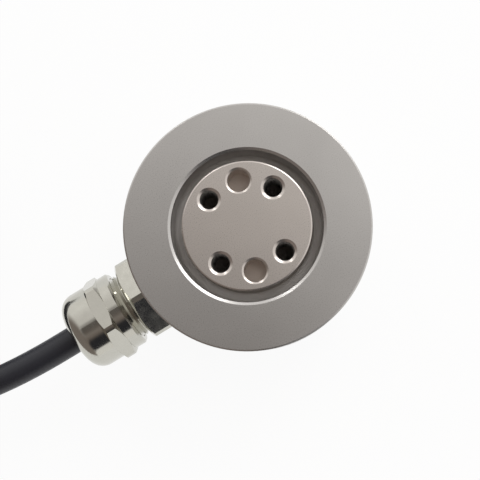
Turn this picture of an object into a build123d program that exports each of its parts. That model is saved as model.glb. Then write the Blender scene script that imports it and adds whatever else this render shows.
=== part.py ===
from build123d import *
import os
from math import cos, pi, radians, sin, tan

# Multi-axis load cell: a round steel body with a loading hub in its middle, a cable gland on
# its side and a free cable. Millimetres. The base stands on Z = 0, +Z leaves the loading face,
# and +Y passes through one of the hub's two dowel holes.

# Body
body_d = 65.0
body_h = 34.0
rim_w = 0.4
rim_h = 0.25
base_chamfer = 0.6
base_ring_w = 7.5

# Bottom cover, its gasket and screws
cover_ledge_w = 4.0
cover_t = 2.4
cover_set_back = 0.6
cover_fit = 0.1
cover_chamfer = 0.4
gasket_t = 0.5
gasket_set_back = 0.5
cover_screw_count = 6
cover_screw_angle = 30.0
cover_screw_d = 2.0
cover_screw_head_d = 3.8
cover_screw_len = 7.0
socket_af = 1.3
socket_depth = 0.7
thread_fit = 0.05
screw_hole_spare = 0.6

# Mounting holes of the base
base_thread_count = 4
base_thread_angle = 45.0
base_thread_minor_d = 4.2
base_thread_depth = 9.0
base_dowel_angles = (90.0, 270.0)
base_dowel_d = 5.0
base_dowel_depth = 6.0
base_hole_chamfer = 0.4
drill_tip_half_angle = 59.0

# Groove between the ring and the loading hub
groove_w = 3.0
groove_depth = 8.0
groove_rim_w = 0.7
groove_rim_h = 0.4
groove_floor_fillet = 1.1
diaphragm_t = 0.8
diaphragm_lap = 1.0

# Loading hub and its holes, all on one circle
hub_rim_w = 0.35
hub_rim_h = 0.2
hub_hole_inset = 5.0
hub_thread_count = 4
hub_thread_angle = 45.0
hub_thread_minor_d = 5.0
hub_thread_rim_w = 0.7
hub_thread_rim_h = 0.4
hub_thread_depth = 10.5
hub_floor_t = 2.5
hub_dowel_angles = (90.0, 270.0)
hub_dowel_d = 6.0
hub_dowel_rim_w = 0.5
hub_dowel_rim_h = 0.3
hub_dowel_depth = 7.0

# Flexure inside the body: a post under the hub, held by a cross of beams
hub_boss_step = 1.0
post_d = 16.0
overload_gap = 1.6
beam_w = 5.0
beam_t = 5.5
beam_root_fillet = 1.5
web_rim = 0.4
beam_count = 4
first_beam_angle = 45.0

# Circuit board and its pillars
board_gap = 2.5
board_t = 1.2
board_fit = 0.3
board_bore_gap = 1.5
pillar_angles = (0.0, 90.0, 270.0)
pillar_w = 5.0
board_screw_d = 2.0
board_screw_head_d = 3.8
board_screw_head_t = 1.2
board_screw_len = 6.0
board_screw_wall_gap = 0.2

# Small electronic components on the board
component_inset = 2.5
chip_l = 2.0
chip_w = 1.25
chip_t = 0.6
chip_angles = (20.0, 70.0, 110.0, 250.0, 290.0, 340.0)
amplifier_l = 5.0
amplifier_w = 4.0
amplifier_t = 1.2
amplifier_angles = (170.0,)

# Strain gauges and their wires
gauge_l = 3.4
gauge_w = 3.0
gauge_t = 0.2
gauge_root_gap = 3.1
gauge_wire_d = 0.4
gauge_wire_pitch = 1.6
gauge_wire_loop = 0.8
gauge_wire_bend = 0.5
gauge_wire_gap = 0.9

# Cable: points on its way from the gland to its coil
cable_d = 7.7
jacket_t = 0.95
cable_inner_depth = 3.0
cable_gland_reach = 0.5
cable_free_points = [
    (-66.15, -25.11, 18.9),
    (-84.10, -29.30, 18.0),
    (-102.40, -31.65, 16.0),
]
run_share = 0.45

# Gland body: distances along its axis start at the body's axis
gland_angle = 200.8
gland_drop = 15.0
gland_seat_depth = 2.5
gland_pocket_gap = 0.7
gland_thread_d = 15.1
gland_thread_len = 5.8
gland_bore_spare = 0.7
gland_bore_chamfer = 0.6
wire_hole_d = 9.0
gland_af = 22.0
hex_corner_rise = 1.3
hex_face_inset = 0.3
hex_chamfer_angle = 30.0
gland_hex_len = 6.9
gland_hex_turn = -4.7
gland_through_gap = 0.5
neck_len = 11.25
neck_crest_d = 18.4
neck_thread_h = 0.7
neck_pitch = 1.3
neck_relief = 0.9
neck_flare_w = 1.6
neck_flare_len = 0.8
neck_socket_len = 9.0
seal_ring_inset = 0.9
seal_ring_w = 1.4
seal_ring_t = 1.2
seal_groove_fit = 0.1

# Clamp cage and seal inside the cap nut
seal_t = 1.5
seal_bore_fit = 0.04
seal_cage_fit = 0.02
seal_set_back = 0.4
cage_t = 1.5
cage_socket_fit = 0.1
cage_cone_gap = 0.12
cage_depth = 7.5
cage_reach = 2.9
cage_slots = 6
cage_slot_w = 0.9
cage_slot_len = 5.4

# Cap nut of the gland
cap_len = 16.05
cap_wall = 1.7
cap_ring_len = 3.3
cap_edge_chamfer = 0.6
cap_band_len = 4.0
cap_band_turn = -18.9
cap_dome_fillet = 4.4
cap_thread_fit = 0.05
cap_cone_gap = 0.7
cap_cone_len = 4.8
cap_cone_step = 0.3
cap_lip_t = 1.9
cap_mouth_gap = 0.4
cap_mouth_round = 0.5

# Put-away coil of the cable, and its straps
coil_centre = (-139.0, 21.0)
coil_in_r = 22.8
coil_out_r = 59.8
turn_gap = 0.1
strap_t = 0.8
strap_arc = 12.0
strap_angles = (35.0, 240.0)
coil_entry_len = 40.0
tail_angle = 182.0
tail_len = 46.0
tail_root = 8.0

# Stripped end of the cable
sleeve_t = 0.6
sleeve_len = 14.0
sleeve_over = 2.0
core_colours = ("red", "black", "green", "white", "blue", "yellow", "brown", "violet", "shield")
core_d = 1.0
core_len = 36.0
core_pitch = 2.8
core_straight = 6.0
core_drop = 16.0
core_first_angle = 10.0
core_lane_share = 0.75
tinned_d = 0.7
tinned_len = 6.0

# Cores inside the body
inner_core_d = 0.9
inner_core_wall_gap = 3.0
inner_core_fan = 0.7
inner_core_bend = 2.2

over = 1.0
hair = 1e-6

# Diameters from the outside inwards, and the circles that the holes lie on
cover_recess_d = body_d - 2 * base_ring_w
cavity_d = cover_recess_d - 2 * cover_ledge_w
groove_d = cavity_d - 2 * diaphragm_lap
hub_d = groove_d - 2 * groove_w
hub_boss_d = hub_d - 2 * hub_boss_step
hub_pcd = hub_d - 2 * hub_hole_inset
base_pcd = body_d - base_ring_w
cover_screw_pcd = cavity_d + cover_ledge_w
board_bore_d = post_d + 2 * board_bore_gap
board_screw_inset = board_screw_head_d / 2 + board_screw_wall_gap
board_screw_r = cavity_d / 2 - board_screw_inset
component_r = board_bore_d / 2 + component_inset
gauge_radii = (post_d / 2 + gauge_root_gap, cavity_d / 2 - gauge_root_gap)

# Heights: the flexure and the board hang from the hub, and the cover stands on the base
groove_floor_z = body_h - groove_depth
cavity_top_z = groove_floor_z - diaphragm_t
hub_boss_z = body_h - hub_thread_depth - hub_floor_t
beam_top_z = hub_boss_z - overload_gap
beam_z = beam_top_z - beam_t
cover_top_z = cover_set_back + cover_t
cover_ledge_z = cover_top_z + gasket_t
board_top_z = beam_z - board_gap
gland_z = body_h - gland_drop

# Places along the gland's axis, and the diameters that follow the cable
gland_seat_s = body_d / 2 - gland_seat_depth
gland_inner_s = gland_seat_s - gland_thread_len
gland_face_s = gland_seat_s + gland_hex_len
neck_end_s = gland_face_s + neck_len
cap_cone_start_s = neck_end_s + cap_cone_gap
cap_cone_end_s = cap_cone_start_s + cap_cone_len
cap_end_s = cap_cone_end_s + cap_lip_t
cap_start_s = cap_end_s - cap_len
cap_band_s = cap_start_s + cap_ring_len
cage_start_s = neck_end_s - cage_depth
cage_end_s = neck_end_s + cage_reach
seal_start_s = cage_start_s + seal_set_back
seal_end_s = cage_end_s - seal_set_back
cable_inner_s = gland_seat_s - cable_inner_depth
cable_gland_s = neck_end_s + cable_gland_reach
gland_corner_d = gland_af + 2 * hex_corner_rise
gland_hex_face_d = gland_af - 2 * hex_face_inset
gland_pocket_d = gland_corner_d + 2 * gland_pocket_gap
gland_through_d = cable_d + 2 * gland_through_gap
seal_ring_out_d = gland_af - 2 * seal_ring_inset
seal_ring_in_d = seal_ring_out_d - 2 * seal_ring_w
cage_in_d = cable_d + 2 * seal_t
cage_out_d = cage_in_d + 2 * cage_t
neck_socket_d = cage_out_d + 2 * cage_socket_fit
neck_root_d = neck_crest_d - 2 * neck_thread_h
neck_flare_d = neck_root_d + 2 * neck_flare_w
cap_ring_d = neck_crest_d + 2 * cap_wall
cap_dome_d = gland_af
cap_cone_wide_d = neck_socket_d + 2 * cap_cone_step
cap_mouth_d = cable_d + 2 * cap_mouth_gap
inner_core_ring_d = cable_d - 2 * jacket_t - inner_core_d
inner_core_count = len(core_colours) - 1
inner_core_turn_s = cavity_d / 2 - inner_core_wall_gap
core_ring_d = cable_d - 2 * jacket_t - core_d
turn_pitch = cable_d + turn_gap
coil_low_z = strap_t
coil_high_z = coil_low_z + cable_d + turn_pitch
tail_r = coil_out_r - cable_d / 2 - turn_gap


def polar(r, angle, z=0.0):
    """The point at distance r from the body's axis, at an angle in degrees from +X."""
    return Vector(r * cos(radians(angle)), r * sin(radians(angle)), z)


def ring_angles(count, first=0.0):
    """Angles of count places evenly round a circle."""
    return [first + 360.0 * k / count for k in range(count)]


def rod(start, end, d):
    """A round bar of diameter d from one point to another."""
    axis = end - start
    upright = (Align.CENTER, Align.CENTER, Align.MIN)
    return Plane(start, z_dir=axis) * Cylinder(d / 2, axis.length, align=upright)


def turned(points, plane):
    """A turned solid: points are (distance along the plane's Z axis, radius)."""
    outline = make_face(Polyline(*[(r, 0, s) for s, r in points], close=True))
    return plane * revolve(outline, Axis.Z)


def gland_plane(s=0.0):
    """The plane across the gland's axis at distance s: Z outward, X up."""
    out = polar(1, gland_angle)
    return Plane(polar(s, gland_angle, gland_z), x_dir=(0, 0, 1), z_dir=out)


def vertical_hole(place, z, d, depth, down=True, rim_w=0.0, rim_h=0.0, tip=True):
    """A drilled hole from the face at height z, with a rim chamfer and a drill tip if wanted."""
    r = d / 2
    rim = [(0, r + rim_w), (rim_h, r)] if rim_w else []
    end = depth + r / tan(radians(drill_tip_half_angle)) if tip else depth
    points = [(-over, 0), (-over, r + rim_w), *rim, (depth, r), (end, 0)]
    return turned(points, Plane((place.X, place.Y, z), z_dir=(0, 0, -1 if down else 1)))


def body_of_revolution():
    """Ring, diaphragm, hub and the web that the beams are cut from, in one turned blank."""
    r = body_d / 2
    gr = groove_d / 2
    hr = hub_d / 2
    points = [
        (0, beam_z),
        (cavity_d / 2, beam_z),
        (cavity_d / 2, cover_ledge_z),
        (cover_recess_d / 2, cover_ledge_z),
        (cover_recess_d / 2, 0),
        (r - base_chamfer, 0),
        (r, base_chamfer),
        (r, body_h - rim_h),
        (r - rim_w, body_h),
        (gr + groove_rim_w, body_h),
        (gr, body_h - groove_rim_h),
        (gr, groove_floor_z),
        (hr, groove_floor_z),
        (hr, body_h - hub_rim_h),
        (hr - hub_rim_w, body_h),
        (0, body_h),
    ]
    outline = make_face(Polyline(*[(x, z) for x, z in points], close=True))
    corners = [v for v in outline.vertices() if abs(v.Y - groove_floor_z) < hair]
    outline = fillet(corners, groove_floor_fillet)
    return revolve(Plane.XZ * outline, Axis.Z)


def upper_cavity():
    """The space over the beams, round the post and under the diaphragm."""
    points = [
        (beam_top_z, post_d / 2),
        (hub_boss_z, post_d / 2),
        (hub_boss_z, hub_boss_d / 2),
        (cavity_top_z, hub_boss_d / 2),
        (cavity_top_z, cavity_d / 2),
        (beam_top_z, cavity_d / 2),
    ]
    return turned(points, Plane.XY)


def beam_pockets():
    """The four pockets between the beams, with rounded roots."""
    pockets = Circle(cavity_d / 2 - web_rim) - Circle(post_d / 2 + web_rim)
    for angle in ring_angles(beam_count, first_beam_angle):
        pockets -= Rot(0, 0, angle) * Rectangle(cavity_d, beam_w, align=(Align.MIN, Align.CENTER))
    rounded = Sketch() + [fillet(face.vertices(), beam_root_fillet) for face in pockets.faces()]
    return Pos(0, 0, beam_z - over) * extrude(rounded, beam_t + 2 * over)


def board_pillars():
    """Pillars on the cavity's wall that carry the circuit board."""
    wall_r = cavity_d / 2
    height = beam_top_z - board_top_z
    pillar = Box(2 * board_screw_inset + over, pillar_w, height, align=(Align.MAX, Align.CENTER, Align.MIN))
    solids = []
    for angle in pillar_angles:
        solids.append(Rot(0, 0, angle) * Pos(wall_r + over, 0, board_top_z) * pillar)
    return solids


def hub_holes():
    """Four threaded holes and two dowel holes in the loading hub."""
    r = hub_pcd / 2
    cuts = []
    for angle in ring_angles(hub_thread_count, hub_thread_angle):
        place = polar(r, angle)
        d, depth = hub_thread_minor_d, hub_thread_depth
        rim_w, rim_h = hub_thread_rim_w, hub_thread_rim_h
        cuts.append(vertical_hole(place, body_h, d, depth, rim_w=rim_w, rim_h=rim_h))
    for angle in hub_dowel_angles:
        place = polar(r, angle)
        d, depth = hub_dowel_d, hub_dowel_depth
        rim_w, rim_h = hub_dowel_rim_w, hub_dowel_rim_h
        cuts.append(vertical_hole(place, body_h, d, depth, rim_w=rim_w, rim_h=rim_h, tip=False))
    return cuts


def underside_holes():
    """Mounting threads, dowel holes and screw holes that open downwards."""
    c = base_hole_chamfer
    r = base_pcd / 2
    cuts = []
    for angle in ring_angles(base_thread_count, base_thread_angle):
        place = polar(r, angle)
        d, depth = base_thread_minor_d, base_thread_depth
        cuts.append(vertical_hole(place, 0, d, depth, down=False, rim_w=c, rim_h=c))
    for angle in base_dowel_angles:
        place = polar(r, angle)
        d, depth = base_dowel_d, base_dowel_depth
        cuts.append(vertical_hole(place, 0, d, depth, down=False, rim_w=c, rim_h=c, tip=False))
    d = cover_screw_d + 2 * thread_fit
    depth = cover_set_back + cover_screw_len + screw_hole_spare - cover_ledge_z
    for angle in ring_angles(cover_screw_count, cover_screw_angle):
        place = polar(cover_screw_pcd / 2, angle)
        cuts.append(vertical_hole(place, cover_ledge_z, d, depth, down=False))
    d = board_screw_d + 2 * thread_fit
    depth = board_screw_len + screw_hole_spare - board_t
    for angle in pillar_angles:
        place = polar(board_screw_r, angle)
        cuts.append(vertical_hole(place, board_top_z, d, depth, down=False))
    return cuts


def gland_openings():
    """The spot face, the thread bore and the wire hole for the gland."""
    bore_r = gland_thread_d / 2 + thread_fit
    bottom_s = gland_inner_s - gland_bore_spare
    points = [
        (cavity_d / 2 - 2 * over, 0),
        (cavity_d / 2 - 2 * over, wire_hole_d / 2),
        (bottom_s, wire_hole_d / 2),
        (bottom_s, bore_r),
        (gland_seat_s - gland_bore_chamfer, bore_r),
        (gland_seat_s, bore_r + gland_bore_chamfer),
        (gland_seat_s, gland_pocket_d / 2),
        (body_d / 2 + over, gland_pocket_d / 2),
        (body_d / 2 + over, 0),
    ]
    return turned(points, gland_plane())


def make_sensing_body():
    body = body_of_revolution() - upper_cavity() - beam_pockets()
    body += board_pillars()
    body -= gland_openings()
    body -= hub_holes() + underside_holes()
    return body


def make_cover_plate():
    """Bottom cover, sunk a little above the mounting face."""
    r = cover_recess_d / 2 - cover_fit
    t = cover_top_z - cover_set_back
    plate = Pos(0, 0, cover_set_back) * Cylinder(r, t, align=(Align.CENTER, Align.CENTER, Align.MIN))
    plate = chamfer(plate.edges().group_by(Axis.Z)[0], cover_chamfer)
    head = (cover_screw_head_d - cover_screw_d) / 2
    hole_r = cover_screw_d / 2 + cover_fit
    for angle in ring_angles(cover_screw_count, cover_screw_angle):
        p = polar(cover_screw_pcd / 2, angle)
        points = [
            (0, 0),
            (0, cover_screw_head_d / 2),
            (cover_set_back, cover_screw_head_d / 2),
            (cover_set_back + head - cover_fit, hole_r),
            (cover_top_z + over, hole_r),
            (cover_top_z + over, 0),
        ]
        plate -= turned(points, Plane((p.X, p.Y, 0)))
    return plate


def make_cover_gasket():
    """Flat gasket between the cover and the ledge, with a hole at each screw."""
    ring = Circle(cover_recess_d / 2 - cover_fit) - Circle(cavity_d / 2 + gasket_set_back)
    for angle in ring_angles(cover_screw_count, cover_screw_angle):
        ring -= Pos(*polar(cover_screw_pcd / 2, angle)) * Circle(cover_screw_d / 2 + cover_fit)
    return Pos(0, 0, cover_top_z) * extrude(ring, gasket_t)


def socket(z):
    """A hexagon socket that opens downwards at height z."""
    hexagon = RegularPolygon(socket_af / 2, 6, major_radius=False)
    return Pos(0, 0, z - over) * extrude(hexagon, socket_depth + over)


def make_cover_screws():
    """Countersunk screws, heads level with the cover's outside."""
    head = (cover_screw_head_d - cover_screw_d) / 2
    end = cover_set_back + cover_screw_len
    points = [
        (cover_set_back, 0),
        (cover_set_back, cover_screw_head_d / 2),
        (cover_set_back + head, cover_screw_d / 2),
        (end - thread_fit, cover_screw_d / 2),
        (end, cover_screw_d / 2 - thread_fit),
        (end, 0),
    ]
    screw = turned(points, Plane.XY) - socket(cover_set_back)
    places = [polar(cover_screw_pcd / 2, a) for a in ring_angles(cover_screw_count, cover_screw_angle)]
    return [Pos(*p) * screw for p in places]


def make_circuit_board():
    out_r = cavity_d / 2 - board_fit
    ring = Circle(out_r) - Circle(board_bore_d / 2)
    for angle in pillar_angles:
        ring -= Pos(*polar(board_screw_r, angle)) * Circle(board_screw_d / 2 + cover_fit)
    return Pos(0, 0, board_top_z - board_t) * extrude(ring, board_t)


def make_board_screws():
    """Pan-head screws from below, through the board into the pillars."""
    seat = board_top_z - board_t
    low = seat - board_screw_head_t
    end = seat + board_screw_len
    points = [
        (low, 0),
        (low, board_screw_head_d / 2 - thread_fit),
        (seat, board_screw_head_d / 2),
        (seat, board_screw_d / 2),
        (end, board_screw_d / 2),
        (end, 0),
    ]
    screw = turned(points, Plane.XY) - socket(low)
    return [Pos(*polar(board_screw_r, angle)) * screw for angle in pillar_angles]


def make_board_components():
    """Chips and an amplifier on the board, clear of the pillars and the gauge wires."""
    seated = (Align.CENTER, Align.CENTER, Align.MIN)
    chip = Box(chip_w, chip_l, chip_t, align=seated)
    amplifier = Box(amplifier_w, amplifier_l, amplifier_t, align=seated)
    placed = [(a, chip) for a in chip_angles] + [(a, amplifier) for a in amplifier_angles]
    return [Rot(0, 0, a) * Pos(component_r, 0, board_top_z) * block for a, block in placed]


def make_strain_gauges():
    """Foil gauges on the top and the underside of each beam, near both of its roots."""
    foil = Box(gauge_l, gauge_w, gauge_t, align=(Align.CENTER, Align.CENTER, Align.MIN))
    solids = []
    for angle in ring_angles(beam_count, first_beam_angle):
        for r in gauge_radii:
            for z in (beam_top_z, beam_z - gauge_t):
                solids.append(Rot(0, 0, angle) * Pos(r, 0, z) * foil)
    return solids


def looped_gauge_wire():
    """From a gauge on top of a beam, over the beam's edge and down to the board."""
    start = beam_top_z + gauge_t
    side = beam_w / 2 + gauge_wire_gap
    points = [
        (0, gauge_wire_pitch / 2, start),
        (0, gauge_wire_pitch / 2, start + gauge_wire_loop),
        (0, side, start + gauge_wire_loop),
        (0, side, board_top_z),
    ]
    path = FilletPolyline(*points, radius=gauge_wire_bend)
    return sweep(Plane(points[0], z_dir=(0, 0, 1)) * Circle(gauge_wire_d / 2), path=path)


def make_gauge_wires():
    """Two wires from each lower gauge and one from each upper gauge, all down to the board."""
    loop = looped_gauge_wire()
    low = beam_z - gauge_t
    solids = []
    for angle in ring_angles(beam_count, first_beam_angle):
        for r in gauge_radii:
            for y in (-gauge_wire_pitch / 2, gauge_wire_pitch / 2):
                straight = rod(Vector(r, y, board_top_z), Vector(r, y, low), gauge_wire_d)
                solids.append(Rot(0, 0, angle) * straight)
            solids.append(Rot(0, 0, angle) * Pos(r, 0, 0) * loop)
    return solids


def make_inner_cores():
    """The cable's cores, from its end in the gland down to the board."""
    plane = gland_plane()
    drop = gland_z - board_top_z
    solids = []
    for angle in ring_angles(inner_core_count, 180.0 / inner_core_count):
        up = inner_core_ring_d / 2 * cos(radians(angle))
        across = inner_core_ring_d / 2 * sin(radians(angle))
        turn_s = inner_core_turn_s - inner_core_fan * up
        points = [
            plane.from_local_coords(Vector(up, across, cable_inner_s)),
            plane.from_local_coords(Vector(up, across, turn_s)),
            plane.from_local_coords(Vector(-drop, across, turn_s)),
        ]
        path = FilletPolyline(*points, radius=inner_core_bend)
        section = Plane(points[0], z_dir=points[1] - points[0]) * Circle(inner_core_d / 2)
        solids.append(sweep(section, path=path))
    return solids


def hex_bar(turn, s, length, corner_d, face_d):
    """A length of hexagon bar on the gland's axis, its corners turned off, chamfered at both ends."""
    hexagon = RegularPolygon(gland_af / 2, 6, major_radius=False, rotation=turn)
    prism = gland_plane(s) * extrude(hexagon, length)
    fall = (corner_d - face_d) / 2 * tan(radians(hex_chamfer_angle))
    points = [
        (s, 0),
        (s, face_d / 2),
        (s + fall, corner_d / 2),
        (s + length - fall, corner_d / 2),
        (s + length, face_d / 2),
        (s + length, 0),
    ]
    return prism & turned(points, gland_plane())


def neck_profile():
    """The gland body's outside beyond its hexagon: a flare, a relief and thread crests."""
    points = [
        (gland_face_s, 0),
        (gland_face_s, neck_flare_d / 2),
        (gland_face_s + neck_flare_len, neck_root_d / 2),
        (gland_face_s + neck_relief, neck_root_d / 2),
    ]
    s = gland_face_s + neck_relief
    while s + neck_pitch < cap_start_s + neck_pitch:
        points += [(s + neck_pitch / 2, neck_crest_d / 2), (s + neck_pitch, neck_root_d / 2)]
        s += neck_pitch
    points += [(neck_end_s, neck_root_d / 2), (neck_end_s, 0)]
    return points


def make_gland_body():
    """Thread stub, hexagon and neck of the gland, bored through for the cable."""
    stub = [
        (gland_inner_s, 0),
        (gland_inner_s, gland_thread_d / 2),
        (gland_seat_s + over, gland_thread_d / 2),
        (gland_seat_s + over, 0),
    ]
    solid = turned(stub, gland_plane())
    solid += hex_bar(gland_hex_turn, gland_seat_s, gland_hex_len, gland_corner_d, gland_hex_face_d)
    solid += turned(neck_profile(), gland_plane())
    bore = [
        (gland_inner_s - over, 0),
        (gland_inner_s - over, gland_through_d / 2),
        (neck_end_s - neck_socket_len, gland_through_d / 2),
        (neck_end_s - neck_socket_len, neck_socket_d / 2),
        (neck_end_s + over, neck_socket_d / 2),
        (neck_end_s + over, 0),
    ]
    groove = [
        (gland_seat_s - over, seal_ring_in_d / 2 - seal_groove_fit),
        (gland_seat_s - over, seal_ring_out_d / 2 + seal_groove_fit),
        (gland_seat_s + seal_ring_t, seal_ring_out_d / 2 + seal_groove_fit),
        (gland_seat_s + seal_ring_t, seal_ring_in_d / 2 - seal_groove_fit),
    ]
    return solid - turned(bore, gland_plane()) - turned(groove, gland_plane())


def make_gland_seal_ring():
    """Seal between the hexagon and the spot face, pressed flat in its groove."""
    points = [
        (gland_seat_s, seal_ring_in_d / 2),
        (gland_seat_s, seal_ring_out_d / 2),
        (gland_seat_s + seal_ring_t, seal_ring_out_d / 2),
        (gland_seat_s + seal_ring_t, seal_ring_in_d / 2),
    ]
    return turned(points, gland_plane())


def make_gland_cap():
    """Cap nut: a short ring, a hexagon band for the spanner and a rounded dome."""
    solid = hex_bar(cap_band_turn, cap_band_s, cap_band_len, gland_corner_d, cap_dome_d)
    ring_r = cap_ring_d / 2
    thread_r = neck_crest_d / 2 + cap_thread_fit
    outside = [
        (cap_start_s, 0),
        (cap_start_s, ring_r - cap_edge_chamfer),
        (cap_start_s + cap_edge_chamfer, ring_r),
        (cap_band_s + over, ring_r),
        (cap_band_s + over, cap_dome_d / 2),
        (cap_end_s, cap_dome_d / 2),
        (cap_end_s, 0),
    ]
    turned_part = turned(outside, gland_plane())
    rim = [e for e in turned_part.edges().filter_by(GeomType.CIRCLE) if is_dome_rim(e)]
    solid += fillet(rim, cap_dome_fillet)
    inside = [
        (cap_start_s - over, 0),
        (cap_start_s - over, thread_r),
        (cap_cone_start_s, thread_r),
        (cap_cone_start_s, cap_cone_wide_d / 2),
        (cap_cone_end_s, cap_mouth_d / 2),
        (cap_end_s - cap_mouth_round, cap_mouth_d / 2),
        (cap_end_s, cap_mouth_d / 2 + cap_mouth_round),
        (cap_end_s + over, cap_mouth_d / 2 + cap_mouth_round),
        (cap_end_s + over, 0),
    ]
    return solid - turned(inside, gland_plane())


def is_dome_rim(edge):
    """Whether an edge is the outer circle at the cap nut's far end."""
    s = gland_plane().to_local_coords(edge.arc_center).Z
    return abs(s - cap_end_s) < hair and abs(edge.radius - cap_dome_d / 2) < hair


def make_gland_cage():
    """Slotted clamp cage whose fingers close on the seal as the cap nut is tightened."""
    closed = (cage_end_s - cap_cone_start_s) / cap_cone_len
    cone_d = cap_cone_wide_d + closed * (cap_mouth_d - cap_cone_wide_d)
    points = [
        (cage_start_s, cage_in_d / 2),
        (cage_start_s, cage_out_d / 2),
        (neck_end_s, cage_out_d / 2),
        (cage_end_s, cone_d / 2 - cage_cone_gap),
        (cage_end_s, cage_in_d / 2),
    ]
    cage = turned(points, gland_plane())
    length = cage_slot_len + over
    slot = Box(neck_socket_d, cage_slot_w, length, align=(Align.MIN, Align.CENTER, Align.MIN))
    for angle in ring_angles(cage_slots):
        cage -= gland_plane(cage_end_s - cage_slot_len) * Rot(0, 0, angle) * slot
    return cage


def make_gland_seal():
    """Rubber seal that grips the cable."""
    points = [
        (seal_start_s, cable_d / 2 + seal_bore_fit),
        (seal_start_s, cage_in_d / 2 - seal_cage_fit),
        (seal_end_s, cage_in_d / 2 - seal_cage_fit),
        (seal_end_s, cable_d / 2 + seal_bore_fit),
    ]
    return turned(points, gland_plane())


def cable_route():
    """Points of the tube: two on the gland's axis, then the free ones."""
    inside = [polar(cable_inner_s, gland_angle, gland_z), polar(cable_gland_s, gland_angle, gland_z)]
    return inside + [Vector(*p) for p in cable_free_points]


def bend_radii(points):
    """One radius for each corner of a route, as large as its two runs allow."""
    radii = []
    for before, here, after in zip(points, points[1:], points[2:]):
        turn = (here - before).get_angle(after - here)
        run = min((here - before).length, (after - here).length)
        radii.append(run_share * run / tan(radians(turn / 2)))
    return radii


def make_cable():
    """The cable's jacket from its end in the gland to the start of its coil."""
    points = cable_route()
    radii = bend_radii(points)
    path = FilletPolyline(*points, radius=radii)
    tube = sweep(Plane(points[0], z_dir=points[1] - points[0]) * Circle(cable_d / 2), path=path)
    print("cable bend radii", [round(r, 1) for r in radii])
    print("cable length", round(path.length, 2), "volume", round(tube.volume, 1))
    print("section times length", round(pi * cable_d**2 / 4 * path.length, 1))
    return tube


def tail_line():
    """Start, end and heading of the straight tail that leaves the coil."""
    heading = polar(1, tail_angle - 90)
    start = Vector(*coil_centre) + polar(tail_r, tail_angle, coil_low_z + cable_d / 2)
    return start, start + heading * tail_len, heading


def coil_section(grow=0.0):
    """Outline of the bundle of turns, as (radius, height) with rounded corners."""
    width = coil_out_r - coil_in_r + 2 * grow
    height = coil_high_z - coil_low_z + 2 * grow
    middle = ((coil_out_r + coil_in_r) / 2, (coil_high_z + coil_low_z) / 2)
    return Pos(*middle) * RectangleRounded(width, height, cable_d / 2 + grow)


def make_cable_coil():
    """Outer shape of the coiled length, with the stretch that runs in and the tail."""
    ring = Pos(*coil_centre) * revolve(Plane.XZ * coil_section(), Axis.Z)
    route = cable_route()
    heading = (route[-1] - route[-2]).normalized()
    ring += rod(route[-1], route[-1] + heading * coil_entry_len, cable_d)
    start, end, heading = tail_line()
    ring += rod(start - heading * tail_root, end, cable_d)
    return ring


def make_coil_straps():
    """Hook-and-loop straps round the bundle of turns."""
    band = coil_section(strap_t) - coil_section()
    strap = revolve(Plane.XZ * band, Axis.Z, revolution_arc=strap_arc)
    return [Pos(*coil_centre) * Rot(0, 0, angle) * strap for angle in strap_angles]


def make_jacket_sleeve():
    """Shrink sleeve over the cut end of the jacket."""
    _, end, heading = tail_line()
    start = end - heading * (sleeve_len - sleeve_over)
    outer = rod(start, start + heading * sleeve_len, cable_d + 2 * sleeve_t)
    return outer - rod(start - heading * over, start + heading * (sleeve_len + over), cable_d)


def core_places():
    """Across and up offsets of the cores in the jacket, sorted from one side to the other."""
    r = core_ring_d / 2
    angles = ring_angles(len(core_colours) - 1, core_first_angle)
    ring = [(r * cos(radians(a)), r * sin(radians(a))) for a in angles]
    return sorted(ring + [(0.0, 0.0)])


def core_points():
    """Route of each stripped core: out of the jacket, down, and along the surface."""
    _, end, heading = tail_line()
    across = heading.cross(Vector(0, 0, 1))
    floor_z = core_d / 2
    middle = (len(core_colours) - 1) / 2
    routes = []
    for k, (side, up) in enumerate(core_places()):
        lane = (k - middle) * core_pitch
        start = end + across * side + Vector(0, 0, up)
        down = end + across * (lane * core_lane_share) + heading * core_drop
        last = end + across * lane + heading * core_len
        routes.append([
            start,
            start + heading * core_straight,
            Vector(down.X, down.Y, floor_z),
            Vector(last.X, last.Y, floor_z),
        ])
    return routes


def make_core(points):
    path = FilletPolyline(*points, radius=bend_radii(points))
    return sweep(Plane(points[0], z_dir=points[1] - points[0]) * Circle(core_d / 2), path=path)


def make_tinned_ends():
    """Tinned strands that stand out of the end of each core."""
    solids = []
    for points in core_points():
        heading = (points[-1] - points[-2]).normalized()
        solids.append(rod(points[-1], points[-1] + heading * tinned_len, tinned_d))
    return solids


def export(name, solids):
    """Write one node: a solid, or a group of separate solids."""
    group = list(solids) if isinstance(solids, (list, tuple)) else [solids]
    shape = group[0] if len(group) == 1 else Compound(children=group)
    export_step(shape, os.path.join("parts", name + ".step"))


def main():
    os.makedirs("parts", exist_ok=True)
    export("sensing_body", make_sensing_body())
    export("cover_plate", make_cover_plate())
    export("cover_gasket", make_cover_gasket())
    export("cover_screws", make_cover_screws())
    export("circuit_board", make_circuit_board())
    export("board_screws", make_board_screws())
    export("board_components", make_board_components())
    export("strain_gauges", make_strain_gauges())
    export("gauge_wires", make_gauge_wires())
    export("inner_cores", make_inner_cores())
    export("gland_body", make_gland_body())
    export("gland_seal_ring", make_gland_seal_ring())
    export("gland_clamp_cage", make_gland_cage())
    export("gland_seal_insert", make_gland_seal())
    export("gland_cap_nut", make_gland_cap())
    export("cable", make_cable())
    export("cable_coil", make_cable_coil())
    export("coil_straps", make_coil_straps())
    export("jacket_sleeve", make_jacket_sleeve())
    for colour, points in zip(core_colours, core_points()):
        export("core_" + colour, make_core(points))
    export("tinned_ends", make_tinned_ends())


main()
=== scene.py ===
from math import cos, floor, pi, radians, sin

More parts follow.
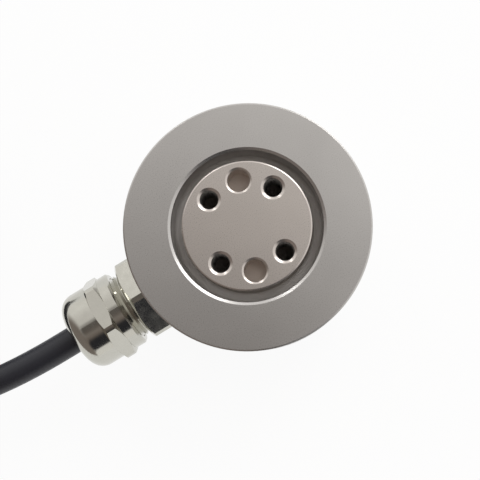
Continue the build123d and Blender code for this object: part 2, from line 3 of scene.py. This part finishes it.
import bpy
from mathutils import Matrix, Vector


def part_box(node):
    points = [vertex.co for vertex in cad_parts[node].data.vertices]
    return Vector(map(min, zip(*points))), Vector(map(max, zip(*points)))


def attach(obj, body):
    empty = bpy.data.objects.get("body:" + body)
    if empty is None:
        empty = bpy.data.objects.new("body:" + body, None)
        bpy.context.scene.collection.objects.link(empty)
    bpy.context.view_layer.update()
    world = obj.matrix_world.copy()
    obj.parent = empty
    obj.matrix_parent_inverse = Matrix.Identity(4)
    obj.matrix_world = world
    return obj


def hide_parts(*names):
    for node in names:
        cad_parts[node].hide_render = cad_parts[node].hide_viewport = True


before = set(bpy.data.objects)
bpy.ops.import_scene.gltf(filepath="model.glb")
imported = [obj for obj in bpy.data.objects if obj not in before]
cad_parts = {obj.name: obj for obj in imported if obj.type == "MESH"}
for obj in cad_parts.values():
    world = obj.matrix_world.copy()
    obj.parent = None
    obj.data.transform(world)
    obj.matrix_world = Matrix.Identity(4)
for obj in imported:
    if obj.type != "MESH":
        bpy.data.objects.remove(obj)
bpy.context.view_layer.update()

# Object: places that the frame gives, in metres like every length here
body_low, body_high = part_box("sensing_body")
face_z = body_high.z

# Camera: where the photograph was taken from, in a frame turned with the photograph
photo_turn = radians(10.43)
camera_tilt_x = radians(-6.51)
camera_tilt_y = radians(-3.73)
camera_shift = Vector((0.00174, 0.00382, -0.2395))
camera_lens = 69.25
sensor_width = 36.0

# Cable: the route's points, as the solid tube has them. A point's own radius counts in the cord's
# box, so it is small, and the bevel is larger by as much
cable_d = 0.0077
cable_points = [
    (-0.02524, -0.00959, 0.019),
    (-0.04548, -0.01728, 0.019),
    (-0.06615, -0.02511, 0.0189),
    (-0.0841, -0.0293, 0.018),
    (-0.1024, -0.03165, 0.016),
    (-0.1205, -0.0331, 0.0134),
]
gland_turn = radians(200.8)
point_radius = 0.004
bevel_steps = 6
spline_steps = 6

# Coil: wound inwards in its upper layer, then outwards in its lower layer. The first turn widens
# to the straps. The turns are round under the straps and step in or out between them, once a turn.
# The angle is in degrees, and each start and width is in turns
coil_centre = Vector((-0.139, 0.021, 0.0))
coil_start_angle = 272.0
coil_start_r = 0.054
coil_outer_r = 0.05585
coil_inner_r = 0.0272
coil_high_z = 0.01245
coil_low_z = 0.00465
upper_turns = 3.5
lower_turns = 3.75
widening_turns = 0.5
steps_per_layer = 3
inward_start = 0.66
inward_width = 0.38
outward_start = 4.1
outward_width = 0.5
descent_turns = 0.33
points_per_turn = 20
tail_steps = (0.023, 0.046)

# Colours of the stripped cores' insulation
core_colours = {
    "red": (0.6, 0.03, 0.02),
    "black": (0.02, 0.02, 0.02),
    "green": (0.02, 0.3, 0.05),
    "white": (0.8, 0.8, 0.78),
    "blue": (0.02, 0.08, 0.5),
    "yellow": (0.8, 0.6, 0.03),
    "brown": (0.2, 0.08, 0.03),
    "violet": (0.25, 0.05, 0.4),
}

# World: a pale room with a slightly dimmer upper side, a dim lower left side, a dark patch nearly
# straight above, a dim shape with a dark core past the object's lower edge, and a white wall under
# it. Each patch lies over those before it. Its azimuth in the photograph, its elevation and its
# inner and outer radius are in degrees
plain_white = (1.0, 1.0, 1.0, 1.0)
room_colour = (1.0, 0.985, 0.965)
world_patches = [
    {"azimuth": 165.0, "elevation": 63.0, "inner": 5.0, "outer": 42.0, "colour": (0.83, 0.81, 0.79)},
    {"azimuth": 225.0, "elevation": 12.0, "inner": 42.0, "outer": 72.0, "colour": (0.26, 0.225, 0.205)},
    {"azimuth": 221.0, "elevation": 80.0, "inner": 6.0, "outer": 21.0, "colour": (0.145, 0.13, 0.12)},
    {"azimuth": 290.0, "elevation": 52.0, "inner": 8.0, "outer": 38.0, "colour": (0.22, 0.185, 0.165)},
    {"azimuth": 294.0, "elevation": 38.0, "inner": 12.0, "outer": 27.0, "colour": (0.03, 0.03, 0.035)},
    {"azimuth": 297.0, "elevation": 4.0, "inner": 17.0, "outer": 20.0, "colour": room_colour},
]

# Floor: its width, its gap below the object and the share of it that takes shadows
floor_size = 3.0
floor_gap = 0.0001
shadow_share = 0.07

# Lamps: their places are in the photograph's frame, from the middle of the loading face
lamps = [
    {"name": "key", "place": (0.42, 0.72, 0.55), "width": 0.6, "power": 3.0},
    {"name": "fill", "place": (-0.5, 0.83, 0.45), "width": 0.12, "power": 0.4},
]

# Body: the groove's outer radius, the hub's radius and its warmer colour, a painted reflection of
# warm surroundings. The hollows, the pits, which are the floors of the deepest holes, and the hub's
# side each start at a depth below the loading face, fade in over a further depth and have a colour
# level of their own: painted light in the hollows, painted shade in the pits and on the hub's side.
# The border of a mask lies a little off the edge that it follows
groove_r = 0.02
hub_r = 0.017
# The hub's warmer colour is a painted reflection of warm surroundings
hub_reflection_tint = (0.575, 0.53, 0.495)
hollow_start = 0.0005
hollow_fade = 0.0035
hollow_roughness = 0.45
pit_start = 0.008
pit_fade = 0.0015
side_fade = 0.0005
# Painted light lightens the hollows; painted shade darkens the pits and the hub's side
painted_levels = {"hollow": 1.25, "pit": 0.6, "side": 0.6}
border_near = 0.0001
border_far = 0.0003

# Surfaces: what noise mostly lies between, how much the steel's roughness varies to either side,
# and the gland's turning marks, which are long round its axis, with the waviness under them
noise_low = 0.3
noise_high = 0.7
steel_swing = 0.04
mark_scale = 3500.0
mark_length = 40.0
wave_height = 6.0

# Threads: the holes' circle, minor diameter, depth and pitch, and where the ridges start, on the
# hub and on the base
hub_threads = {"pcd": 0.024, "d": 0.005, "depth": 0.0105, "pitch": 0.001, "start": 0.0005}
base_threads = {"pcd": 0.0575, "d": 0.0042, "depth": 0.009, "pitch": 0.0008, "start": 0.0005}
thread_angles = (45.0, 135.0, 225.0, 315.0)
thread_rise = 0.00028
thread_fit = 0.00001
thread_steps = 20


def world_camera():
    """The camera's place in the object's frame, from the photograph's turn, tilts and shift."""
    tilt = Matrix.Rotation(camera_tilt_x, 4, "X") @ Matrix.Rotation(camera_tilt_y, 4, "Y")
    turn = Matrix.Rotation(photo_turn, 4, "Z")
    to_camera = Matrix.Translation(camera_shift) @ tilt @ turn @ Matrix.Translation((0, 0, -face_z))
    return to_camera.inverted()


def make_camera():
    """The camera, with the lens that the photograph was fitted with."""
    data = bpy.data.cameras.new("camera")
    data.lens = camera_lens
    data.sensor_width = sensor_width
    camera = bpy.data.objects.new("camera", data)
    camera.matrix_world = world_camera()
    bpy.context.collection.objects.link(camera)
    bpy.context.scene.camera = camera


def steps_made(turned, start, width):
    """How many of the layer's steps are made: one a turn from start on, each eased over width."""
    whole = floor(turned - start)
    part = min((turned - start - whole) / width, 1.0)
    return min(max(whole + part * part * (3 - 2 * part), 0.0), steps_per_layer)


def coil_points():
    """Control points of the coil's turns, and the place and heading where its tail begins."""
    # The curve runs a little inside its control points, so they are moved out by this factor
    outward = 4 / (3 + cos(2 * pi / points_per_turn))
    step = (coil_outer_r - coil_inner_r) / steps_per_layer
    points = []
    for k in range(int((upper_turns + lower_turns) * points_per_turn) + 1):
        turned = k / points_per_turn
        if turned < upper_turns:
            narrow = (coil_outer_r - coil_start_r) * max(1 - turned / widening_turns, 0.0)
            r = coil_outer_r - narrow - step * steps_made(turned, inward_start, inward_width)
        else:
            r = coil_inner_r + step * steps_made(turned, outward_start, outward_width)
        drop = min(max(turned - upper_turns, 0.0) / descent_turns, 1.0)
        z = coil_high_z + (coil_low_z - coil_high_z) * (1 - cos(pi * drop)) / 2
        angle = radians(coil_start_angle) - 2 * pi * turned
        control_r = r * outward
        points.append(coil_centre + Vector((control_r * cos(angle), control_r * sin(angle), z)))
    heading = Vector((sin(angle), -cos(angle), 0))
    end = coil_centre + Vector((r * cos(angle), r * sin(angle), coil_low_z))
    return points, end, heading


def make_cable():
    """The whole cord: out of the gland, down to the coil, round it and on to the cut end."""
    turns, end, heading = coil_points()
    tail = [end + heading * step for step in tail_steps]
    points = [Vector(p) for p in cable_points] + turns + tail
    curve = bpy.data.curves.new("cord", "CURVE")
    curve.dimensions = "3D"
    curve.bevel_depth = cable_d / 2 / point_radius
    curve.bevel_resolution = bevel_steps
    curve.use_fill_caps = True
    spline = curve.splines.new("NURBS")
    spline.points.add(len(points) - 1)
    for point, place in zip(spline.points, points):
        point.co = (*place, 1.0)
        point.radius = point_radius
    spline.order_u = 3
    spline.use_endpoint_u = True
    spline.resolution_u = spline_steps
    cord = bpy.data.objects.new("cord", curve)
    bpy.context.collection.objects.link(cord)
    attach(cord, "root")
    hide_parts("cable", "cable_coil")
    on_cord = ["coil_straps", "jacket_sleeve", "tinned_ends"]
    on_cord += [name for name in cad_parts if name.startswith("core_")]
    return cord


def from_photo(vector):
    """A vector in the photograph's frame, turned into the object's frame."""
    return Matrix.Rotation(-photo_turn, 3, "Z") @ Vector(vector)


def add_node(tree, kind, inputs=None, **settings):
    """A shader node, with its settings and with values or links for its inputs."""
    node = tree.nodes.new("ShaderNode" + kind)
    for name, value in settings.items():
        setattr(node, name, value)
    for key, value in (inputs or {}).items():
        if isinstance(value, bpy.types.NodeSocket):
            tree.links.new(value, node.inputs[key])
        else:
            node.inputs[key].default_value = value
    return node


def patch_direction(azimuth, elevation):
    """The direction in the object's frame of an azimuth and an elevation in the photograph's."""
    a, e = radians(azimuth), radians(elevation)
    return from_photo((cos(a) * cos(e), sin(a) * cos(e), sin(e)))


def make_world():
    """Pale surroundings with darker patches, and plain white behind the object."""
    world = bpy.data.worlds.new("room")
    bpy.context.scene.world = world
    world.use_nodes = True
    tree = world.node_tree
    tree.nodes.clear()
    ray = add_node(tree, "TexCoord").outputs["Generated"]
    colour = (*room_colour, 1.0)
    for patch in world_patches:
        toward = patch_direction(patch["azimuth"], patch["elevation"])
        near = add_node(tree, "VectorMath", {0: ray, 1: toward}, operation="DOT_PRODUCT")
        fade = add_node(tree, "MapRange", {
            "Value": near.outputs["Value"],
            "From Min": cos(radians(patch["outer"])),
            "From Max": cos(radians(patch["inner"])),
        }, interpolation_type="SMOOTHSTEP")
        over = {"Fac": fade.outputs["Result"], "Color1": colour, "Color2": (*patch["colour"], 1.0)}
        colour = add_node(tree, "MixRGB", over).outputs["Color"]
    room = add_node(tree, "Background", {"Color": colour, "Strength": 1.0})
    white = add_node(tree, "Background", {"Color": plain_white, "Strength": 1.0})
    seen = add_node(tree, "LightPath").outputs["Is Camera Ray"]
    mixed = add_node(tree, "MixShader", {0: seen, 1: room.outputs[0], 2: white.outputs[0]})
    add_node(tree, "OutputWorld", {"Surface": mixed.outputs[0]})


def make_floor():
    """White floor that keeps a faint shadow of the object and can be seen through from below."""
    mesh = bpy.data.meshes.new("floor")
    half = floor_size / 2
    corners = [(-half, -half), (half, -half), (half, half), (-half, half)]
    mesh.from_pydata([(x, y, -floor_gap) for x, y in corners], [], [(0, 1, 2, 3)])
    ground = bpy.data.objects.new("floor", mesh)
    bpy.context.collection.objects.link(ground)
    material = bpy.data.materials.new("floor_white")
    material.use_nodes = True
    tree = material.node_tree
    tree.nodes.clear()
    path = add_node(tree, "LightPath").outputs
    seen = path["Is Camera Ray"]
    for kind in ("Is Glossy Ray", "Is Transmission Ray"):
        seen = combined(tree, seen, path[kind], "MAXIMUM")
    share = combined(tree, seen, 1.0 - shadow_share)
    matte = add_node(tree, "BsdfDiffuse", {"Color": plain_white})
    glow = add_node(tree, "Emission", {"Color": plain_white, "Strength": 1.0})
    mixed = add_node(tree, "MixShader", {0: share, 1: matte.outputs[0], 2: glow.outputs[0]})
    below = add_node(tree, "NewGeometry").outputs["Backfacing"]
    clear = add_node(tree, "BsdfTransparent")
    shown = add_node(tree, "MixShader", {0: below, 1: mixed.outputs[0], 2: clear.outputs[0]})
    add_node(tree, "OutputMaterial", {"Surface": shown.outputs[0]})
    mesh.materials.append(material)


def make_lamps():
    """Round lamps that shine on the middle of the loading face."""
    aim = Vector((0, 0, face_z))
    for row in lamps:
        data = bpy.data.lights.new(row["name"], "AREA")
        data.shape = "DISK"
        data.size = row["width"]
        data.energy = row["power"]
        lamp = bpy.data.objects.new(row["name"], data)
        lamp.location = aim + from_photo(row["place"])
        lamp.rotation_euler = (aim - lamp.location).to_track_quat("-Z", "Y").to_euler()
        bpy.context.collection.objects.link(lamp)


def make_threads(name, holes, z, up):
    """The threads of one circle of holes: a helix of ridges that lines each hole's wall."""
    wall_r = holes["d"] / 2 - thread_fit
    crest_r = wall_r - thread_rise
    pitch = holes["pitch"]
    turns = (holes["depth"] - holes["start"]) / pitch - 1
    vertices = []
    faces = []
    for hole_angle in thread_angles:
        across = radians(hole_angle)
        centre = Vector((cos(across), sin(across), 0)) * holes["pcd"] / 2
        for k in range(int(turns * thread_steps) + 1):
            angle = 2 * pi * k / thread_steps
            low = holes["start"] + pitch * k / thread_steps
            for r, down in ((wall_r, low), (crest_r, low + pitch / 2), (wall_r, low + pitch)):
                height = z + down if up else z - down
                vertices.append(centre + Vector((r * cos(angle), r * sin(angle), height)))
            if k:
                # Two faces join the last step to this one: from the wall to the crest and back
                n = len(vertices)
                faces.append((n - 6, n - 3, n - 2, n - 5))
                faces.append((n - 5, n - 2, n - 1, n - 4))
    mesh = bpy.data.meshes.new(name)
    mesh.from_pydata(vertices, [], faces)
    threads = bpy.data.objects.new(name, mesh)
    bpy.context.collection.objects.link(threads)
    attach(threads, "root")
    return threads


def new_material(name, base, roughness, metallic=0.0, **sockets):
    """A material with its shader's plain values set, its tree and that shader."""
    material = bpy.data.materials.new(name)
    material.use_nodes = True
    tree = material.node_tree
    shader = tree.nodes["Principled BSDF"]
    shader.inputs["Base Color"].default_value = (*base, 1.0)
    shader.inputs["Roughness"].default_value = roughness
    shader.inputs["Metallic"].default_value = metallic
    for socket, value in sockets.items():
        shader.inputs[socket.replace("_", " ")].default_value = value
    return material, tree, shader


def noise(tree, scale, detail=3.0, stretch=(1.0, 1.0, 1.0)):
    """Noise over a piece's own coordinates, with features of 1/scale metres."""
    place = add_node(tree, "TexCoord").outputs["Object"]
    mapped = add_node(tree, "Mapping", {"Vector": place, "Scale": stretch})
    speckle = add_node(tree, "TexNoise", {"Vector": mapped.outputs[0], "Scale": scale, "Detail": detail})
    return speckle.outputs["Fac"]


def ranged(tree, value, start, end, low, high):
    """A value between start and end, turned into one from low to high."""
    inputs = {"Value": value, "From Min": start, "From Max": end, "To Min": low, "To Max": high}
    return add_node(tree, "MapRange", inputs).outputs["Result"]


def spread(tree, value, low, high):
    """Noise, spread so that it mostly runs from low to high."""
    return ranged(tree, value, noise_low, noise_high, low, high)


def combined(tree, first, second, operation="MULTIPLY"):
    """Two values joined by one operation."""
    return add_node(tree, "Math", {0: first, 1: second}, operation=operation).outputs["Value"]


def coloured(tree, shader, base, level):
    """The shader's colour, base times a level that varies over the surface."""
    colour = add_node(tree, "VectorMath", {0: base, "Scale": level}, operation="SCALE")
    tree.links.new(colour.outputs["Vector"], shader.inputs["Base Color"])


def roughened(tree, shader, pattern, low, high):
    """The shader's roughness, which follows a pattern from low to high."""
    tree.links.new(spread(tree, pattern, low, high), shader.inputs["Roughness"])


def bumped(tree, shader, height, strength, distance):
    """The shader's relief, which follows a height."""
    bump = add_node(tree, "Bump", {"Height": height, "Strength": strength, "Distance": distance})
    tree.links.new(bump.outputs["Normal"], shader.inputs["Normal"])


def body_masks(tree):
    """Masks of the hollows, the pits, the hub's side and the hub, by name."""
    place = add_node(tree, "TexCoord").outputs["Object"]
    height = add_node(tree, "SeparateXYZ", {0: place}).outputs["Z"]
    flat = add_node(tree, "VectorMath", {0: place, 1: (1.0, 1.0, 0.0)}, operation="MULTIPLY")
    r = add_node(tree, "VectorMath", {0: flat.outputs["Vector"]}, operation="LENGTH").outputs["Value"]

    def below(start, fade):
        return ranged(tree, height, face_z - start, face_z - start - fade, 0.0, 1.0)

    def within(radius):
        return ranged(tree, r, radius + border_far, radius + border_near, 0.0, 1.0)

    hub = within(hub_r)
    hub_border = ranged(tree, r, hub_r - border_far, hub_r - border_near, 0.0, 1.0)
    hub_side = combined(tree, hub_border, hub)
    return {
        "hollow": combined(tree, below(hollow_start, hollow_fade), within(groove_r)),
        "pit": combined(tree, below(pit_start, pit_fade), hub),
        "side": combined(tree, below(hollow_start, side_fade), hub_side),
        "hub": hub,
    }


def body_steel(name, base, roughness):
    """Ground stainless steel: cloudy faces, turned walls and duller hollows, with painted light that
    lightens the hollows, painted shade that darkens the pits and the hub's side, and a painted
    reflection that warms the hub.
    """
    material, tree, shader = new_material(name, base, roughness, metallic=1.0)
    masks = body_masks(tree)
    # Painted reflection: the hub's warmer colour stands in for warm surroundings reflected in it
    tint_inputs = {"Fac": masks["hub"], "Color1": (*base, 1.0), "Color2": (*hub_reflection_tint, 1.0)}
    tinted_base = add_node(tree, "MixRGB", tint_inputs).outputs["Color"]
    level = spread(tree, noise(tree, scale=70.0, detail=2.0), low=0.97, high=1.03)
    # Painted light in the hollows, painted shade in the pits and on the hub's side
    for mask, painted_level in painted_levels.items():
        level = combined(tree, level, ranged(tree, masks[mask], 0.0, 1.0, 1.0, painted_level))
    coloured(tree, shader, tinted_base, level)
    grain = noise(tree, scale=5000.0, detail=2.0)
    rough = spread(tree, grain, roughness - steel_swing, roughness + steel_swing)
    rougher = ranged(tree, masks["hollow"], 0.0, 1.0, 0.0, hollow_roughness)
    tree.links.new(combined(tree, rough, rougher, "ADD"), shader.inputs["Roughness"])
    turned = noise(tree, scale=9000.0, detail=2.0, stretch=(0.02, 0.02, 1.0))
    relief = combined(tree, grain, turned, "ADD")
    bumped(tree, shader, relief, strength=0.12, distance=0.00002)
    return material


def satin_steel(name, base, roughness):
    """Finely ground stainless steel with a faint cloudiness."""
    material, tree, shader = new_material(name, base, roughness, metallic=1.0)
    cloud = noise(tree, scale=90.0, detail=2.0)
    coloured(tree, shader, base, spread(tree, cloud, low=0.96, high=1.04))
    grain = noise(tree, scale=5000.0, detail=2.0)
    roughened(tree, shader, grain, low=roughness - steel_swing, high=roughness + steel_swing)
    bumped(tree, shader, grain, strength=0.12, distance=0.00002)
    return material


def polished_nickel(name, base, roughness):
    """Plated metal, nearly a mirror, with smudges, a little waviness and fine turning marks."""
    material, tree, shader = new_material(name, base, roughness, metallic=1.0)
    smudge = noise(tree, scale=500.0)
    coloured(tree, shader, base, spread(tree, smudge, low=0.97, high=1.02))
    roughened(tree, shader, smudge, low=roughness - 0.02, high=roughness + 0.03)
    place = add_node(tree, "TexCoord").outputs["Object"]
    turned = {"Vector": place, "Rotation": (0, 0, gland_turn), "Scale": (1.0, mark_length, mark_length)}
    along = add_node(tree, "Mapping", turned, vector_type="TEXTURE").outputs["Vector"]
    marks = add_node(tree, "TexNoise", {"Vector": along, "Scale": mark_scale, "Detail": 2.0})
    waves = combined(tree, noise(tree, scale=220.0, detail=2.0), wave_height)
    relief = combined(tree, marks.outputs["Fac"], waves, "ADD")
    bumped(tree, shader, relief, strength=0.1, distance=0.00002)
    return material


def moulded(name, base, roughness, grain_scale=2500.0, strength=0.2, **sockets):
    """Plastic or rubber with a fine moulded grain."""
    material, tree, shader = new_material(name, base, roughness, **sockets)
    cloud = noise(tree, scale=120.0, detail=2.0)
    coloured(tree, shader, base, spread(tree, cloud, low=0.92, high=1.08))
    grain = noise(tree, scale=grain_scale)
    roughened(tree, shader, grain, low=roughness - 0.05, high=roughness + 0.05)
    bumped(tree, shader, grain, strength, distance=0.00005)
    return material


def woven(name, base, roughness):
    """Hook and loop tape: a fuzzy weave of small loops."""
    material, tree, shader = new_material(name, base, roughness, Sheen_Weight=0.4)
    place = add_node(tree, "TexCoord").outputs["Object"]
    loops = add_node(tree, "TexVoronoi", {"Vector": place, "Scale": 1800.0}).outputs["Distance"]
    coloured(tree, shader, base, ranged(tree, loops, start=0.0, end=0.6, low=1.3, high=0.6))
    fuzz = noise(tree, scale=4000.0)
    roughened(tree, shader, fuzz, low=roughness - 0.08, high=roughness + 0.08)
    bumped(tree, shader, combined(tree, loops, fuzz, "ADD"), strength=0.6, distance=0.0002)
    return material


def board_mask(name, base, roughness):
    """Green solder mask over copper tracks that show as slightly lighter bands."""
    material, tree, shader = new_material(name, base, roughness, Coat_Weight=0.5)
    tracks = noise(tree, scale=600.0, detail=0.0, stretch=(1.0, 0.3, 1.0))
    coloured(tree, shader, base, ranged(tree, tracks, start=0.48, end=0.52, low=0.8, high=1.3))
    grain = noise(tree, scale=3000.0, detail=2.0)
    roughened(tree, shader, grain, low=roughness - 0.05, high=roughness + 0.05)
    bumped(tree, shader, combined(tree, tracks, grain, "ADD"), strength=0.2, distance=0.00005)
    return material


def gauge_film(name, base, roughness):
    """Amber film with the fine bars of the foil grid under it."""
    material, tree, shader = new_material(name, base, roughness, Coat_Weight=0.6)
    bars = noise(tree, scale=2500.0, detail=0.0, stretch=(1.0, 1.0, 0.1))
    coloured(tree, shader, base, ranged(tree, bars, start=0.45, end=0.55, low=0.75, high=1.15))
    roughened(tree, shader, bars, low=roughness - 0.05, high=roughness + 0.05)
    bumped(tree, shader, bars, strength=0.2, distance=0.00003)
    return material


def dress(material, *names):
    """One material on the named pieces, in place of their own."""
    for name in names:
        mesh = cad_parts[name].data
        mesh.materials.clear()
        mesh.materials.append(material)


def dress_metal():
    """Body, cover, screws, gland and bare wire ends."""
    body = body_steel("stainless_body", base=(0.525, 0.51, 0.495), roughness=0.3)
    dress(body, "sensing_body")
    cover = satin_steel("stainless_cover", base=(0.58, 0.57, 0.55), roughness=0.34)
    dress(cover, "cover_plate")
    screws = satin_steel("screw_steel", base=(0.5, 0.5, 0.5), roughness=0.28)
    dress(screws, "cover_screws", "board_screws")
    nickel = polished_nickel("nickel_brass", base=(0.54, 0.53, 0.48), roughness=0.13)
    dress(nickel, "gland_body", "gland_cap_nut")
    tinned = polished_nickel("tinned_copper", base=(0.75, 0.74, 0.72), roughness=0.3)
    dress(tinned, "tinned_ends", "core_shield")


def dress_insides():
    """Seals, clamp cage, circuit board, gauges and their wires."""
    rubber = moulded("black_rubber", base=(0.03, 0.03, 0.03), roughness=0.75,
                     grain_scale=1500.0, strength=0.3)
    dress(rubber, "cover_gasket", "gland_seal_ring", "gland_seal_insert")
    dress(moulded("cage_plastic", base=(0.12, 0.12, 0.12), roughness=0.5), "gland_clamp_cage")
    dress(board_mask("board_green", base=(0.02, 0.2, 0.08), roughness=0.3), "circuit_board")
    dress(moulded("component_black", base=(0.04, 0.04, 0.04), roughness=0.55), "board_components")
    dress(gauge_film("gauge_foil", base=(0.75, 0.55, 0.25), roughness=0.3), "strain_gauges")
    wire = moulded("copper_wire", base=(0.5, 0.2, 0.08), roughness=0.3, Coat_Weight=0.5)
    dress(wire, "gauge_wires")


def dress_cores():
    """Wire insulation, one colour for each core, with the inner cores in white."""
    for colour_name, colour in core_colours.items():
        slot = "core_" + colour_name
        names = [slot]
        if colour_name == "white":
            names.append("inner_cores")
        insulation = moulded(slot, base=colour, roughness=0.35, strength=0.1, Coat_Weight=0.3)
        dress(insulation, *names)


def dress_cord(cord):
    """The cord's jacket, the sleeve on its cut end and the straps round its coil."""
    cord.data.materials.append(moulded("cable_jacket", base=(0.018, 0.019, 0.027), roughness=0.43))
    sleeve = moulded("sleeve_plastic", base=(0.03, 0.03, 0.03), roughness=0.35, strength=0.1)
    dress(sleeve, "jacket_sleeve")
    dress(woven("strap_fabric", base=(0.04, 0.04, 0.04), roughness=0.85), "coil_straps")


def add_threads():
    """Ridges in the threaded holes of the hub and the base, duller than the body."""
    steel = satin_steel("thread_steel", base=(0.34, 0.33, 0.32), roughness=0.45)
    for threads in (
        make_threads("hub_threads", hub_threads, face_z, up=False),
        make_threads("base_threads", base_threads, body_low.z, up=True),
    ):
        threads.data.materials.append(steel)


bpy.context.scene.view_settings.view_transform = "Standard"
make_camera()
make_world()
make_floor()
make_lamps()
dress_metal()
dress_insides()
dress_cores()
dress_cord(make_cable())
add_threads()
